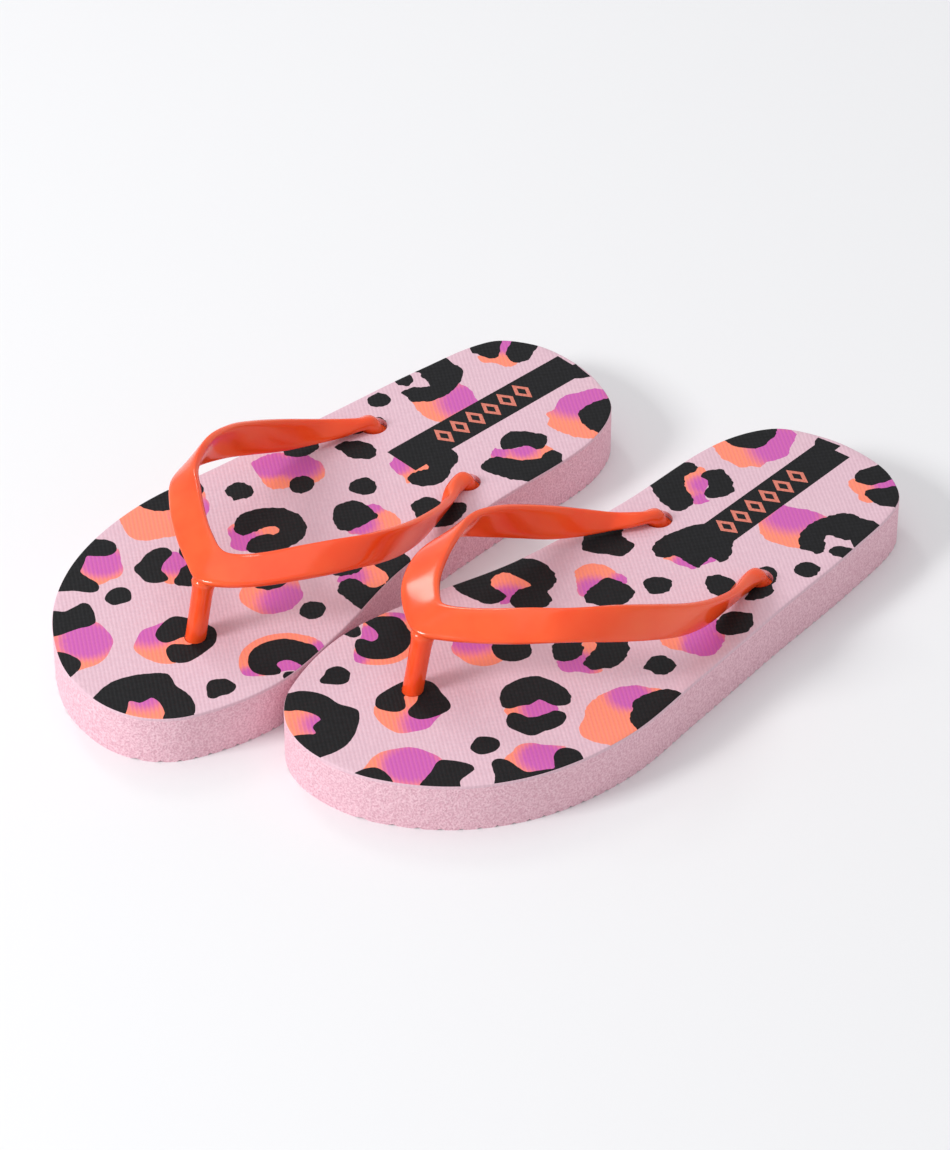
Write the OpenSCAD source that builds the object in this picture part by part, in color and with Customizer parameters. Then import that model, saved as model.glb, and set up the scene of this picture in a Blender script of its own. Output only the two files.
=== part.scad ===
// A child's pair of flip flops: two die-cut foam soles with printed tops, each held to the
// foot by one moulded strap whose toe post and two arms plug through holes in the sole.
// Lengths are in millimetres. Toes point to -Y, the left shoe stands at +X, +Z is up.

/* [Sole] */
// Length of a sole, toe to heel
sole_len = 210; // [170:1:270]
// Width of a sole across the ball of the foot
ball_w = 88; // [72:1:108]
// Width of a sole across the heel
heel_w = 62; // [52:1:78]
// Thickness of the whole sole, printed top included
sole_t = 16; // [11:0.5:24]
// Thickness of the printed top skin
top_t = 1; // [0.6:0.1:2]
// Distance from the toe tip to the line where the sole bends
flex_y = 70; // [60:1:80]

/* [Tread] */
// Distance between two grooves of the tread
groove_pitch = 4; // [3:0.5:8]
// Width of a groove where it opens
groove_w = 1.6; // [0.8:0.1:2.4]
// Depth of a groove
groove_depth = 0.6; // [0.3:0.1:1.2]

/* [Strap] */
// Thickness of the strap's band
band_t = 2.6; // [1.8:0.1:3.6]
// Height of the band's lower edge above the sole, at the V over the toe post
v_rise = 19; // [14:1:26]
// Diameter of the toe post
post_d = 6; // [4:0.5:8]
// Diameter of the round necks that go through the sole at the two arms
neck_d = 8.4; // [6:0.2:10]
// Diameter of the plugs under the sole
plug_d = 18; // [14:1:20]
// Thickness of the plugs
plug_t = 3; // [2:0.5:4]
// Distance from the toe tip to the toe post
post_y = 38.5; // [34:0.5:44]
// Distance from the toe tip to the two arm holes
arm_y = 144; // [130:1:155]
// Distance of the toe post from the sole's axis, on the inner side
post_in = 14; // [8:0.5:18]
// Distance of the inner arm's hole from the sole's axis
arm_in = 18; // [14:0.5:19]
// Distance of the outer arm's hole from the sole's axis
arm_out = 21.5; // [16:0.5:22]

/* [Pair] */
// Gap between the two soles where they come closest
pair_gap = 0.6; // [0.4:0.1:20]
// How far the left shoe stands back from the right shoe
stagger = 27; // [0:1:60]

/* [Hidden] */

hole_clear = 0.4;     // between a neck or post and its hole, all round
plug_clear = 0.5;     // between a plug and its recess, all round
plug_sink = 0.6;      // from the tread's lands up to a plug
shaft_step = 0.8;     // where one round piece of a strap runs into the next
flex_gap = 0.3;       // between the two halves of a sole at the bend line
slack = 1;            // how far cutting tools reach past what they cut
cuts = 8;             // straight pieces between two points of the outline
rings = 3;            // rings between two stations of the strap
$fn = 64;

foam_pink = [0.93, 0.73, 0.80];
top_pink = [0.94, 0.78, 0.83];
coral = [1.0, 0.38, 0.22];

// Outline of the left sole, clockwise from the toe tip. Each point is a share of half the ball's
// or heel's width, outer side positive, and a share of the length.
OUTLINE = [[-0.32, 0], [0.11, 0.02], [0.56, 0.09], [0.85, 0.19], [0.97, 0.32], [0.91, 0.465],
           [0.81, 0.65], [1.03, 0.83], [0.87, 0.95], [0.53, 0.99], [0.11, 1], [-0.34, 0.99],
           [-0.77, 0.954], [-0.99, 0.867], [-0.7, 0.676], [-0.77, 0.48], [-0.955, 0.32],
           [-1.03, 0.19], [-0.875, 0.067], [-0.65, 0.017]];
// Shares are of the ball's width up to the waist and of the heel's width behind it.
waist = 0.78;
function half_w(v) = (v < waist ? ball_w : heel_w) / 2;
function outline_point(p) = [p[0] * half_w(p[1]), p[1] * sole_len];

// A smooth curve through points: Hermite pieces whose slopes follow the chords on both sides.
function slope(a, b, c, chord) = (c - a) * chord / (norm(b - a) + norm(c - b));
function blend(p, q, m, n, t) =
    (2 * t^3 - 3 * t^2 + 1) * p + (t^3 - 2 * t^2 + t) * m + (3 * t^2 - 2 * t^3) * q + (t^3 - t^2) * n;
function piece(a, b, c, d, t) =
    let (chord = norm(c - b))
    blend(b, c, slope(a, b, c, chord), slope(b, c, d, chord), t);
function closed_curve(pts, steps) =
    let (n = len(pts))
    [for (i = [0 : n - 1], k = [0 : steps - 1])
        piece(pts[(i + n - 1) % n], pts[i], pts[(i + 1) % n], pts[(i + 2) % n], k / steps)];
function open_curve(pts, steps) =
    let (n = len(pts), ends = concat([2 * pts[0] - pts[1]], pts, [2 * pts[n - 1] - pts[n - 2]]))
    concat([for (i = [0 : n - 2], k = [0 : steps - 1])
        piece(ends[i], ends[i + 1], ends[i + 2], ends[i + 3], k / steps)], [pts[n - 1]]);

outline = closed_curve([for (p = OUTLINE) outline_point(p)], cuts);

post_at = [-post_in, post_y];
arm_in_at = [-arm_in, arm_y];
arm_out_at = [arm_out, arm_y];
plug_z = groove_depth + plug_sink;

// Stations of the strap, from the outer arm's neck over the V to the inner arm's neck. Each is
// [lower edge, upper edge, thickness, roundness]; the edges are [across, along, up], where
// across is from the toe post, along is the share of the way from toe post to arm holes, and
// up is above the sole. Roundness is 0 for the flat band and 1 for the round arm ends.
arm_out_x = arm_out + post_in;
arm_in_x = post_in - arm_in;
arm_len = arm_y - post_y;
arm_end_d = neck_d - shaft_step;
arm_end_share = arm_end_d / 2 / arm_len;
function arm_end(x) = [[x, 1 - arm_end_share, -5], [x, 1 + arm_end_share, -5], arm_end_d, 1];
function raised(up) = up * v_rise / 19;
function station(low, high) =
    [[low[0], low[1], raised(low[2])], [high[0], high[1], raised(high[2])], band_t, 0];
function tip(low, high) =
    [[low[0], low[1], raised(low[2])], [high[0], high[1], raised(high[2])], neck_d * 0.53, 0.5];
function lip(x) =
    [[x, 0.958, raised(0.6)], [x, 1.002, raised(3.4)], neck_d * 0.62, 0.7];
function mouth(x) = [[x, 0.969, -1.8], [x, 1.022, 0.2], neck_d * 0.78, 0.9];
STATIONS = [
    arm_end(arm_out_x),
    mouth(arm_out_x + 0.2),
    lip(arm_out_x + 0.5),
    tip([arm_out_x + 1.3, 0.89, 1.1], [arm_out_x + 1.9, 0.955, 4.5]),
    station([39.3, 0.81, 2], [41.2, 0.85, 8]),
    station([41.9, 0.7, 4.2], [43.8, 0.735, 13]),
    station([43.4, 0.59, 8.4], [44.4, 0.63, 18]),
    station([43, 0.48, 13.5], [42.8, 0.525, 23.2]),
    station([40.4, 0.355, 18.9], [38, 0.4, 27.9]),
    station([34.6, 0.228, 23.1], [29.5, 0.28, 29.3]),
    station([25.8, 0.147, 22.6], [22.5, 0.228, 28.5]),
    station([16.8, 0.09, 21.2], [15.3, 0.18, 27]),
    station([7, 0.043, 19.6], [8, 0.142, 25.3]),
    station([0, 0.019, 19], [0.5, 0.119, 23.8]),
    station([-7.8, 0.047, 20], [-3.8, 0.142, 23.3]),
    station([-16, 0.114, 21.2], [-9.1, 0.194, 24]),
    station([-22.2, 0.213, 21], [-14.3, 0.275, 24.6]),
    station([-25.5, 0.317, 18.9], [-19, 0.365, 24.4]),
    station([-26.2, 0.422, 15.6], [-22.8, 0.46, 23.2]),
    station([-23.8, 0.517, 11], [-23.2, 0.555, 20.2]),
    station([-20.8, 0.602, 7.2], [-21.6, 0.64, 16.6]),
    station([-17, 0.687, 3.8], [-18.5, 0.73, 12.6]),
    station([-13.2, 0.768, 2], [-15, 0.81, 8.8]),
    station([-9.5, 0.848, 1.2], [-10.6, 0.89, 5.4]),
    tip([arm_in_x - 2, 0.905, 1.1], [arm_in_x - 2.2, 0.955, 4.2]),
    lip(arm_in_x - 0.5),
    mouth(arm_in_x - 0.2),
    arm_end(arm_in_x)];
function placed(p) = [post_at[0] + p[0], post_at[1] + p[1] * arm_len, sole_t + p[2]];

low_edge = open_curve([for (s = STATIONS) placed(s[0])], rings);
high_edge = open_curve([for (s = STATIONS) placed(s[1])], rings);
function steps_between(v, steps) =
    concat([for (i = [0 : len(v) - 2], k = [0 : steps - 1]) v[i] + (v[i + 1] - v[i]) * k / steps],
           [v[len(v) - 1]]);
thick = steps_between([for (s = STATIONS) [s[2], s[3]]], rings);

// One ring of the strap: a flat oval between the two edges that turns round at the necks.
function power(v, e) = sign(v) * pow(abs(v), e);
function unit(v) = v / norm(v);
function ring(i) =
    let (n = len(low_edge) - 1, before = max(i - 1, 0), after = min(i + 1, n),
         mid = (low_edge[i] + high_edge[i]) / 2,
         run = (low_edge[after] + high_edge[after] - low_edge[before] - high_edge[before]) / 2,
         across = (high_edge[i] - low_edge[i]) / 2,
         out = unit(cross(run, across)) * thick[i][0] / 2,
         sharp = 0.45 + 0.55 * thick[i][1])
    [for (a = [0 : 30 : 330]) mid + across * power(cos(a), sharp) + out * power(sin(a), sharp)];

module loft(sections) {
    n = len(sections);
    m = len(sections[0]);
    sides = [for (i = [0 : n - 2], k = [0 : m - 1])
        [i * m + k, (i + 1) * m + k, (i + 1) * m + (k + 1) % m, i * m + (k + 1) % m]];
    start = [[for (k = [0 : m - 1]) k]];
    end = [[for (k = [m - 1 : -1 : 0]) (n - 1) * m + k]];
    polyhedron([for (s = sections) each s], concat(start, sides, end), convexity = 10);
}

// Side view of the sole's foam: flat on top, with the tread's grooves along the bottom.
module foam_profile() {
    top = sole_t - top_t;
    count = floor((sole_len - groove_pitch) / groove_pitch);
    first = (sole_len - count * groove_pitch) / 2;
    grooves = [for (i = [0 : count]) let (y = first + i * groove_pitch)
        each [[y - groove_w / 2, 0], [y, groove_depth], [y + groove_w / 2, 0]]];
    polygon(concat([[-slack, top], [-slack, 0]], grooves,
                   [[sole_len + slack, 0], [sole_len + slack, top]]));
}

module across_sole() {
    reach = ball_w + heel_w;
    translate([-reach / 2, 0, 0]) rotate([90, 0, 90]) linear_extrude(reach) children();
}

module hole(at, d) {
    translate([at[0], at[1], -slack]) cylinder(d = d + 2 * hole_clear, h = sole_t + 2 * slack);
    translate([at[0], at[1], -slack])
        cylinder(d = plug_d + 2 * plug_clear, h = plug_z + plug_t + slack);
}

module strap_holes() {
    hole(post_at, post_d);
    hole(arm_in_at, neck_d);
    hole(arm_out_at, neck_d);
}

// Keeps the half of a sole in front of the bend line or the half behind it.
module half(front) {
    reach = ball_w + heel_w;
    from = front ? -slack : flex_y + flex_gap / 2;
    to = front ? flex_y - flex_gap / 2 : sole_len + slack;
    intersection() {
        children();
        translate([-reach / 2, from, -slack]) cube([reach, to - from, sole_t + 2 * slack]);
    }
}

module foam(front) {
    color(foam_pink) half(front) difference() {
        intersection() {
            linear_extrude(sole_t) polygon(outline);
            across_sole() foam_profile();
        }
        strap_holes();
    }
}

module top_skin(front) {
    color(top_pink) half(front) difference() {
        translate([0, 0, sole_t - top_t]) linear_extrude(top_t) polygon(outline);
        strap_holes();
    }
}

module plug(at, shaft_d, shaft_top) {
    translate([at[0], at[1], plug_z]) {
        cylinder(d = plug_d, h = plug_t);
        cylinder(d = shaft_d, h = shaft_top - plug_z);
    }
}

// The post leans from its hole to the middle of the V.
module toe_post() {
    foot = [post_at[0], post_at[1], sole_t - top_t];
    v_low = placed([0, 0.019, v_rise]);
    v_high = placed([0.5, 0.119, v_rise * 1.25]);
    lean = v_low * 0.72 + v_high * 0.28 - foot;
    translate(foot) rotate([0, acos(lean[2] / norm(lean)), atan2(lean[1], lean[0])])
        cylinder(d = post_d, h = norm(lean));
}

module strap() {
    color(coral) {
        loft([for (i = [0 : len(low_edge) - 1]) ring(i)]);
        toe_post();
        plug(post_at, post_d - shaft_step, sole_t);
        plug(arm_in_at, neck_d, sole_t - 2 * top_t);
        plug(arm_out_at, neck_d, sole_t - 2 * top_t);
    }
}

// Places a left shoe's piece in the pair, or its mirror image as the right shoe's. The inner
// side, as [along, across] from toe to heel, tells how close the staggered soles can stand.
heel_tip = 10 * cuts;
inner_side = [for (i = [len(outline) - 1 : -1 : heel_tip]) [outline[i][1], outline[i][0]]];
reach_sum = max([for (p = inner_side) -p[1] - lookup(p[0] + stagger, inner_side)]);
side_step = (reach_sum + pair_gap) / 2;
module left() {
    translate([side_step, (stagger - sole_len) / 2, 0]) children();
}
module right() {
    translate([-side_step, (-stagger - sole_len) / 2, 0]) mirror([1, 0, 0]) children();
}

left() foam(true);  // left_sole_front
left() foam(false);  // left_sole_rear
left() top_skin(true);  // left_top_front
left() top_skin(false);  // left_top_rear
left() strap();  // left_strap
right() foam(true);  // right_sole_front
right() foam(false);  // right_sole_rear
right() top_skin(true);  // right_top_front
right() top_skin(false);  // right_top_rear
right() strap();  // right_strap
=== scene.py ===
"""The looks of a pair of flip flops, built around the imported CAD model.

Shapes are written in millimetres in the left shoe's own frame: x from the sole's axis towards its
outer side, y from the toe tip towards the heel, z up from the ground. The right shoe is the mirror
image. Each shoe is three pieces: the printed footbed, the foam sole and the moulded strap.
"""

import math

import bmesh
import bpy
from mathutils import Matrix, Vector, geometry, noise


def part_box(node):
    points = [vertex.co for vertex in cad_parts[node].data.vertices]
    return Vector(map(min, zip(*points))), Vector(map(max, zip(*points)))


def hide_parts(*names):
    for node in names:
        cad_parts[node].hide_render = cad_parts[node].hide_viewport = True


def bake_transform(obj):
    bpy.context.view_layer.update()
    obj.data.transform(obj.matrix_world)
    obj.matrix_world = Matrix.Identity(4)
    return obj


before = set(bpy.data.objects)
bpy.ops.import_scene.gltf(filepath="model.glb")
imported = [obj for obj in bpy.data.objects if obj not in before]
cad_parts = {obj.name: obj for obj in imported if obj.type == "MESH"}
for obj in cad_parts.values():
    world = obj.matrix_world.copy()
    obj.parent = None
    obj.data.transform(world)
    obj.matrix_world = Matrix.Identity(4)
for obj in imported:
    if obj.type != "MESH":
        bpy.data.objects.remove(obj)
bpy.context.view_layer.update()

MM = 0.001

# ---- Sizes of the shoe, as the CAD model has them ------------------------------------------------
SOLE_LEN = 210
BALL_W = 88
HEEL_W = 62
SOLE_T = 16
TOP_T = 1
GROOVE_PITCH = 4
GROOVE_W = 1.6
GROOVE_DEPTH = 0.6
GROOVES = int((SOLE_LEN - GROOVE_PITCH) // GROOVE_PITCH)
FIRST_GROOVE = (SOLE_LEN - GROOVES * GROOVE_PITCH) / 2
BAND_T = 2.6
POST_D = 6
NECK_D = 8.4
PLUG_D = 18
PLUG_T = 3
PLUG_Z = 1.2
HOLE_CLEAR = 0.4
SKIN_CLEAR = 0.1
PLUG_CLEAR = 0.5
POST_AT = (-14, 38.5)
ARM_IN_AT = (-18, 144)
ARM_OUT_AT = (21.5, 144)
ARM_LEN = ARM_IN_AT[1] - POST_AT[1]
WAIST = 0.78
HOLES = [(POST_AT, POST_D), (ARM_IN_AT, NECK_D), (ARM_OUT_AT, NECK_D)]

OUTLINE = [(-0.32, 0), (0.11, 0.02), (0.56, 0.09), (0.85, 0.19), (0.97, 0.32), (0.91, 0.465),
           (0.81, 0.65), (1.03, 0.83), (0.87, 0.95), (0.53, 0.99), (0.11, 1), (-0.34, 0.99),
           (-0.77, 0.954), (-0.99, 0.867), (-0.7, 0.676), (-0.77, 0.48), (-0.955, 0.32),
           (-1.03, 0.19), (-0.875, 0.067), (-0.65, 0.017)]

# Mesh spacing, and the size of the skin's softened edge
GRID = 2
ROUND_POINTS = 40
OUTLINE_STEP = 1.5
PRINT_STEP = 0.8
EDGE_INSET = 0.35
EDGE_DROP = 0.3


# ---- Curves -------------------------------------------------------------------------------------
def hermite(a, b, c, d, t):
    """The point at t between b and c on a smooth curve through a, b, c and d."""
    chord = (c - b).length
    before, after = (b - a).length, (d - c).length
    m = (c - a) * (chord / max(before + chord, 1e-9))
    n = (d - b) * (chord / max(after + chord, 1e-9))
    return ((2 * t**3 - 3 * t**2 + 1) * b + (t**3 - 2 * t**2 + t) * m
            + (3 * t**2 - 2 * t**3) * c + (t**3 - t**2) * n)


def closed_curve(points, step):
    """A smooth closed curve through points, with a point about every step."""
    pts = [Vector(p) for p in points]
    n = len(pts)
    out = []
    for i in range(n):
        a, b, c, d = pts[i - 1], pts[i], pts[(i + 1) % n], pts[(i + 2) % n]
        count = max(1, round((c - b).length / step))
        out += [hermite(a, b, c, d, k / count) for k in range(count)]
    return out


def open_curve(points, steps):
    pts = [Vector(p) for p in points]
    pts = [2 * pts[0] - pts[1]] + pts + [2 * pts[-1] - pts[-2]]
    out = []
    for i in range(1, len(pts) - 2):
        out += [hermite(*pts[i - 1:i + 3], k / steps) for k in range(steps)]
    return out + [pts[-2]]


def circle(at, r, count=ROUND_POINTS):
    return [Vector((at[0] + r * math.cos(math.tau * k / count),
                    at[1] + r * math.sin(math.tau * k / count))) for k in range(count)]


def diamond(x, y, rx, ry):
    return [Vector(p) for p in ((x + rx, y), (x, y + ry), (x - rx, y), (x, y - ry))]


def ragged(points, seed):
    """Moves the points of a loop a little: towards the heel the print's edges are rougher."""
    out = []
    for p in points:
        amount = 0.12 + 0.4 * min(1, max(0, (p.y - 45) / 40))
        shift = [noise.noise((p.x * 0.8, p.y * 0.8, layer)) for layer in (seed, seed + 0.5)]
        out.append(p + Vector(shift) * amount)
    return out


def half_width(v):
    return (BALL_W if v < WAIST else HEEL_W) / 2


OUTER = closed_curve([(u * half_width(v), v * SOLE_LEN) for u, v in OUTLINE],
                     OUTLINE_STEP)

# ---- The print ----------------------------------------------------------------------------------
# Black spots, as points of smooth outlines. Points beyond the sole's edge are cut off by it.
BLACK = [
    [(-37.5, 13.3), (-36.3, 15.7), (-33.3, 18.3), (-29.3, 19.7), (-24, 19.9), (-21, 21.1),
     (-18.5, 21.7), (-16.8, 20.6), (-14.7, 18.3), (-12, 14.3), (-10.2, 9.7), (-10, 6),
     (-10.7, 2.7), (-12.5, -1), (-24, -1), (-23, 2), (-21.3, 4.3), (-19.7, 6.4), (-22.2, 7.8),
     (-22.8, 9.5), (-23, 11.5), (-24.3, 11.9), (-27, 11.5), (-30.5, 9.7), (-32, 7.7), (-37, 5),
     (-41, 9)],
    [(-37.3, 27.5), (-37, 30), (-35.7, 31.5), (-32, 31.5), (-31, 30.7), (-29.3, 28.3), (-29.9, 26),
     (-32.7, 23.5), (-34.3, 22.5), (-35.7, 23.3), (-36.3, 25.7)],
    [(-18.9, 36), (-19.1, 32.5), (-18.8, 29.3), (-17.3, 27.2), (-15.6, 26.1), (-13, 26.8),
     (-10.2, 28.8), (-9.7, 31.3), (-11.3, 33.2), (-13.5, 34.8), (-13.6, 36.5), (-12.3, 38.2),
     (-10.8, 37.6), (-9.6, 35.8), (-9, 33.3), (-8.4, 31.3), (-6.7, 30.1), (-4, 30.6), (-2.1, 32.7),
     (-1, 35.7), (-0.5, 38.7), (-1, 40.7), (-3.3, 42.3), (-7.3, 43.4), (-10.7, 44.6), (-13.5, 44.5),
     (-16.3, 42.5), (-18.2, 39.8)],
    [(13, 23), (15.7, 25.3), (18, 26.6), (20.6, 27.4), (22.3, 26.6), (22.6, 23), (23, 20.3),
     (25, 18.7), (28, 16), (18, 9), (16, 12), (15.4, 14), (14.4, 17.8), (13, 20.8)],
    [(0.1, 3.5), (0.8, 6), (2.3, 8), (4.7, 8.6), (9, 7.8), (11, 6), (6, 0), (0, 0)],
    [(13.3, 36.7), (14.3, 38.3), (16.7, 39.9), (19, 39.9), (20.5, 38.3), (20.9, 36.3), (20.3, 34),
     (18.7, 32), (15.3, 32), (14, 34.3)],
    [(23.3, 33.4), (24.3, 35), (26.7, 35.9), (30, 35.7), (33.3, 36), (34.7, 38), (36.3, 40.5),
     (37.5, 42.4), (36, 44), (33.7, 46.3), (32.9, 48.7), (34, 51), (36.7, 52.3), (39.3, 51.8),
     (41.5, 50), (45, 48), (42, 36), (33, 24), (30.3, 26.2), (28.2, 28.6), (25, 30.7), (23.7, 32)],
    [(14, 69.2), (10, 68.8), (7, 67.6), (4.7, 64.7), (3.6, 60.7), (3.5, 57.7), (4.7, 54.7),
     (7, 52.3), (9.4, 51), (11.2, 52), (12.5, 55), (14.1, 57.5), (14, 59.5), (14.5, 60.6), (17, 61),
     (19.4, 61.8), (21.2, 63.8), (21.3, 66), (19.3, 68), (16.7, 69)],
    [(20.7, 60.4), (23.3, 61.4), (25.3, 60), (26.2, 57.3), (25.7, 54), (24.6, 51.3), (24.2, 48.8),
     (22.7, 47.3), (20, 46.6), (16.7, 46), (14.3, 47.3), (12.6, 50), (13, 51.5), (15, 52.4),
     (17.3, 52.8), (19, 55), (19.9, 57.7)],
    [(-45.5, 52), (-44.7, 53.5), (-43, 55.8), (-40.7, 57.8), (-38.3, 58.3), (-34.7, 57),
     (-31, 55.2), (-28.7, 52), (-27.7, 48.7), (-27.8, 45.3), (-29.3, 42.3), (-32, 39.8),
     (-34.7, 38.7), (-37, 39), (-39.7, 41), (-40.9, 43.2), (-40, 44.5), (-37.3, 45.5),
     (-37.2, 47.5), (-38.2, 48.9), (-40, 49.6), (-43, 49.8), (-44.5, 49.9), (-48, 50)],
    [(-48, 47.5), (-44.7, 47.6), (-43.2, 46.8), (-41.7, 45.2), (-41.8, 43.6), (-43, 42.5),
     (-48, 42.4)],
    [(-13, 70.5), (-11.5, 67.7), (-9.2, 66), (-6.7, 65.5), (-3.3, 66.5), (-1.3, 69.3), (-0.8, 72),
     (-2, 74.2), (-4.5, 76.3), (-8, 77), (-12, 75)],
    [(-30.8, 69.5), (-30.5, 67), (-29.3, 65.7), (-26.3, 65.2), (-24.8, 66.3), (-23.3, 69),
     (-23.8, 71.5), (-26.8, 73.4), (-29.3, 72.2)],
    [(35, 86.5), (36.3, 88.8), (38.7, 90.1), (41.5, 90.5), (46, 89), (47, 70), (42.7, 70.4),
     (40, 71), (38, 72.4), (36, 75.3), (33.8, 78), (33.3, 80.7), (34.2, 84)],
    [(23.9, 96), (24.7, 98), (26.7, 99.3), (30, 99.2), (32, 97.7), (32.3, 95.3), (31.7, 93),
     (29.7, 91.5), (27.3, 91.5), (26, 90.9), (25.3, 92), (24.3, 94.3)],
    [(7.8, 98.8), (4.2, 97.8), (1.5, 95.8), (-0.8, 92.8), (-1.6, 89.2), (-1.4, 85.2), (-0.1, 81.6),
     (1.9, 78.3), (4.5, 76.6), (6.8, 76.6), (8.6, 78.6), (9.2, 81.5), (8.6, 84.4), (7.2, 86),
     (5.9, 86.7), (5.9, 89), (7.9, 90), (9.6, 89), (10.5, 86.5), (11, 83.8), (11.6, 81.2),
     (13.6, 80), (16, 80.5), (17.4, 82.5), (19, 84.5), (19.7, 87.2), (19.3, 89.8), (18.2, 92.5),
     (15.5, 95.8), (12.8, 98), (10.8, 98.5)],
    [(-34, 102), (-32.3, 103.8), (-30, 105), (-27, 105.4), (-22.7, 104.6), (-19.7, 102.7),
     (-18, 100), (-17.5, 97), (-15.5, 96), (-13.7, 94.4), (-12.9, 92), (-13.7, 89.3), (-15.3, 87),
     (-17.4, 85.1), (-19.7, 84.7), (-22, 86), (-23.4, 88.3), (-24.2, 90.7), (-24, 92),
     (-23, 93.8), (-23.1, 95.3), (-24.5, 95.9), (-28, 95.4), (-31, 95.1), (-32.8, 93.9),
     (-33.3, 91.7), (-32.7, 88.8), (-30.7, 87.4), (-27.3, 87.5), (-25, 87.2), (-23.8, 85.5),
     (-24.3, 82.7), (-26, 80.2), (-28.7, 79.6), (-32.7, 79.1), (-35.3, 78.6), (-39, 79.5),
     (-43, 81), (-38, 100)],
    [(-10, 113.3), (-7.3, 114.5), (-4.7, 115), (-0.7, 114.8), (1.3, 113.3), (2, 110.7),
     (2.3, 109.3), (1.7, 107), (-0.3, 105), (-2.3, 102.8), (-4, 102), (-6, 101), (-8, 102),
     (-9.3, 104), (-9.8, 106.7), (-10, 110)],
    [(-1.3, 121.3), (-0.3, 123.3), (1.3, 124.8), (3, 125.5), (5.3, 125.1), (6.7, 123.3),
     (7, 120.7), (6.3, 118.7), (4.3, 117.1), (1.3, 117.7), (-0.7, 119.3)],
    [(13.3, 110), (14.1, 112.4), (15.8, 114), (18.4, 114.2), (20.4, 112.7), (20.8, 110),
     (19.4, 107.4), (16.8, 105.8), (14.1, 106.8)],
    [(25.7, 125.3), (26.7, 128), (29, 129.3), (31, 130.7), (33, 129), (35, 126.3), (35.5, 124),
     (34.7, 121.3), (32.7, 118.7), (31, 117.7), (28.7, 118.3), (26.7, 120), (25.7, 122)],
    [(-13.7, 128.5), (-13.2, 126), (-13.8, 123.2), (-16, 122), (-18.7, 120.3), (-20.7, 119),
     (-23.7, 118.2), (-26, 120.5), (-28.5, 124), (-28.5, 128), (-26.5, 133), (-24, 134.5),
     (-20, 131), (-17, 130.5), (-15.3, 130.5)],
    [(10.6, 134), (12, 137), (14, 137.8), (15.8, 138.5), (18.5, 138), (21, 136), (22.8, 132.5),
     (22.5, 130.3), (19, 129.9), (15.7, 129.4), (12.7, 131)],
    [(18.7, 147.5), (19.3, 149.5), (21, 150.6), (23.2, 150.3), (24.7, 148.6), (25.8, 146.8),
     (26.3, 144.6), (28.5, 143), (29.2, 141), (28.5, 138.2), (27, 135), (25.5, 134), (24, 137),
     (21, 141.5), (19.5, 145)],
    [(25.5, 157), (26, 159.3), (27.7, 160.3), (30.3, 160.5), (32, 159), (32.3, 156), (31, 154),
     (28.7, 153.1), (26.3, 154.3)],
    [(16.6, 180), (18.7, 184), (21.3, 186), (24.7, 186.3), (27.5, 187.4), (31, 187.3), (35, 187),
     (36, 175), (31.5, 174.5), (30, 175.4), (28.7, 175.9), (27.6, 174.8), (24.7, 174),
     (22.3, 172.8), (23.3, 171), (25.3, 169), (26.6, 166.3), (26.2, 164.2), (24, 163.9),
     (21.3, 162.8), (19.2, 164.3), (16.7, 167), (15.6, 170.7), (15.4, 174)],
    [(27.2, 169.5), (28.3, 171.8), (30.3, 173), (32.5, 173.3), (35, 170), (32, 167.9), (29, 167),
     (27.5, 168)],
    [(-23.7, 170), (-22.6, 172.7), (-20.8, 174.8), (-18, 174.3), (-14.8, 173), (-12.9, 171.3),
     (-11.1, 170), (-11.3, 166), (-12.6, 163.4), (-14.7, 161.7), (-16.7, 162.6), (-17.7, 164.7),
     (-18.8, 166.8), (-20.5, 168), (-23, 167.8)],
    [(-31.5, 169), (-30, 170.7), (-27.2, 170.8), (-25.7, 169), (-26, 166.9), (-26.5, 165.3),
     (-24.7, 162.7), (-22, 160.1), (-18.7, 159), (-16.2, 157.4), (-15.3, 154.7), (-15.7, 151.4),
     (-17.3, 150.1), (-21.3, 150.5), (-26, 151.7), (-29.5, 153.4), (-33, 155.5), (-35, 165)],
    [(-22.6, 201.3), (-21.2, 199.3), (-20.3, 196), (-19.8, 192), (-20.7, 189.4), (-23.3, 187.3),
     (-27, 185.7), (-31, 185.9), (-36, 187), (-33, 199), (-25, 205)],
    [(10.8, 209.3), (14, 212), (18.5, 209), (18.3, 206.5), (17.3, 203.3), (15.7, 200.2),
     (13.3, 198.8), (11, 198.4), (9.3, 200), (8.6, 203), (9.6, 205.8)],
    [(21, 204.9), (19.3, 202), (17, 198.8), (16.5, 197), (17.9, 195.2), (21.3, 194.6),
     (24.2, 194.5), (26, 196), (28.5, 197.5), (30, 200), (25, 206)],
]

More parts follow.
